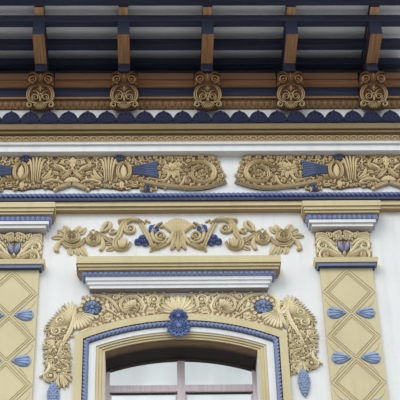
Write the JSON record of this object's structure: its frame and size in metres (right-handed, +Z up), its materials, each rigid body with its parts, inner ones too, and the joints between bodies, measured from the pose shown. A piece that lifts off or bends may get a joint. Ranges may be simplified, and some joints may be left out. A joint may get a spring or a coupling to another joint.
{
  "type": "ornamental facade window bay",
  "caption": "Bay of a painted plaster facade with an arched window, flanking pilasters, carved frieze and garland, rope mouldings, cornice and bracketed timber eaves.",
  "frame": {"origin": "ground level, under the window's centre line, in the plane of the wall's outer face", "axes": "+Z up, +Y into the wall, +X to the right of a viewer facing the wall"},
  "size_m": [3.4, 1.25, 6.04],
  "materials": {
    "white_plaster": "limewashed lime plaster, matt",
    "ochre_plaster": "ochre masonry paint on cast plaster, matt",
    "base_stone": "painted stone base course, matt",
    "blue_plaster": "blue masonry paint on cast plaster, matt",
    "window_timber": "mauve-brown oil paint on timber",
    "window_glass": "clear window glass",
    "brown_timber": "brown stained timber",
    "blue_timber": "dark blue paint on timber",
    "ochre_timber": "ochre paint on carved timber",
    "soffit_timber": "off-white paint on soffit boards",
    "clay_tile": "fired clay roof tile"
  },
  "bodies": {
    "root": {"pier_left": "white_plaster", "pier_right": "white_plaster", "wall_below_window": "white_plaster", "wall_over_window": "white_plaster", "wall_head": "white_plaster", "plinth": "base_stone", "window_sill": "ochre_plaster", "pilaster_left": "ochre_plaster", "pilaster_right": "ochre_plaster", "pilaster_teardrops": "blue_plaster", "neck_fillets": "blue_plaster", "neck_bands": "ochre_plaster", "capital_left": "ochre_plaster", "capital_right": "ochre_plaster", "capital_tulips": "blue_plaster", "abacus_beds": "white_plaster", "abacus_leaf_bands": "blue_plaster", "abacus_tops": "ochre_plaster", "string_band": "ochre_plaster", "string_fillet": "blue_plaster", "string_rope": "blue_plaster", "frieze_panel_left": "ochre_plaster", "frieze_panel_right": "ochre_plaster", "frieze_shells": "blue_plaster", "cornice_bed": "white_plaster", "egg_and_dart": "ochre_plaster", "cornice_fascia": "ochre_plaster", "scallop_crest": "blue_plaster", "garland": "ochre_plaster", "garland_flowers": "blue_plaster", "hood_bed": "white_plaster", "hood_leaf_band": "blue_plaster", "hood_top": "ochre_plaster", "surround_band": "ochre_plaster", "surround_rope": "blue_plaster", "surround_flat": "white_plaster", "surround_fillets": "ochre_plaster", "keystone_rosettes": "blue_plaster", "window_crest": "ochre_plaster", "crest_flowers": "blue_plaster", "window_frame": "window_timber", "window_sashes": "window_timber", "window_glass": "window_glass", "timber_cornice": "brown_timber", "timber_cove": "blue_timber", "carved_leaf_band": "ochre_timber", "consoles": "ochre_timber", "console_pads": "blue_timber", "lower_rafters": "ochre_timber", "upper_rafters": "ochre_timber", "purlins": "blue_timber", "soffit_boards": "soffit_timber", "eaves_board": "blue_timber", "end_boards": "brown_timber", "roof_deck": "brown_timber", "roof_tiles": "clay_tile"}
  },
  "joints": []
}
